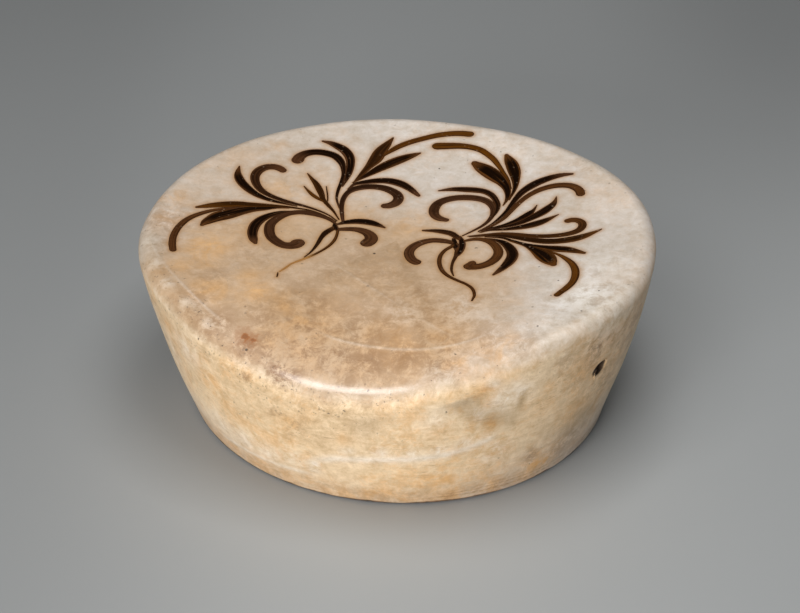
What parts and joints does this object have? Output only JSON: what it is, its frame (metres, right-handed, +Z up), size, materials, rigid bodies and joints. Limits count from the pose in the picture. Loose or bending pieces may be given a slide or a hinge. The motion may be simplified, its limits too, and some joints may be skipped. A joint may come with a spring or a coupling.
{
  "type": "ceramic head pillow",
  "caption": "Hollow oval stoneware head pillow with a flaring wall, a dished top whose front edge dips, cream glaze over white slip, and brush-painted brown plant sprays.",
  "frame": {"origin": "on the table under the middle of the top, at the middle of the part's box", "axes": "+X towards the right end seen from the dipped front edge, +Y towards the back, +Z up"},
  "size_m": [0.3, 0.26, 0.1185],
  "materials": {
    "slip_glaze": "clear cream glaze over white slip, worn and stained",
    "bare_clay": "bare fired stoneware, matt",
    "iron_brown": "iron pigment under clear glaze"
  },
  "bodies": {
    "root": {"top_slab": "slip_glaze", "wall_strip": "slip_glaze", "base_slab": "bare_clay", "upper_luting_coil": "bare_clay", "lower_luting_coil": "bare_clay", "wall_seam_coil": "bare_clay", "left_spray": "iron_brown", "right_spray": "iron_brown"}
  },
  "joints": []
}
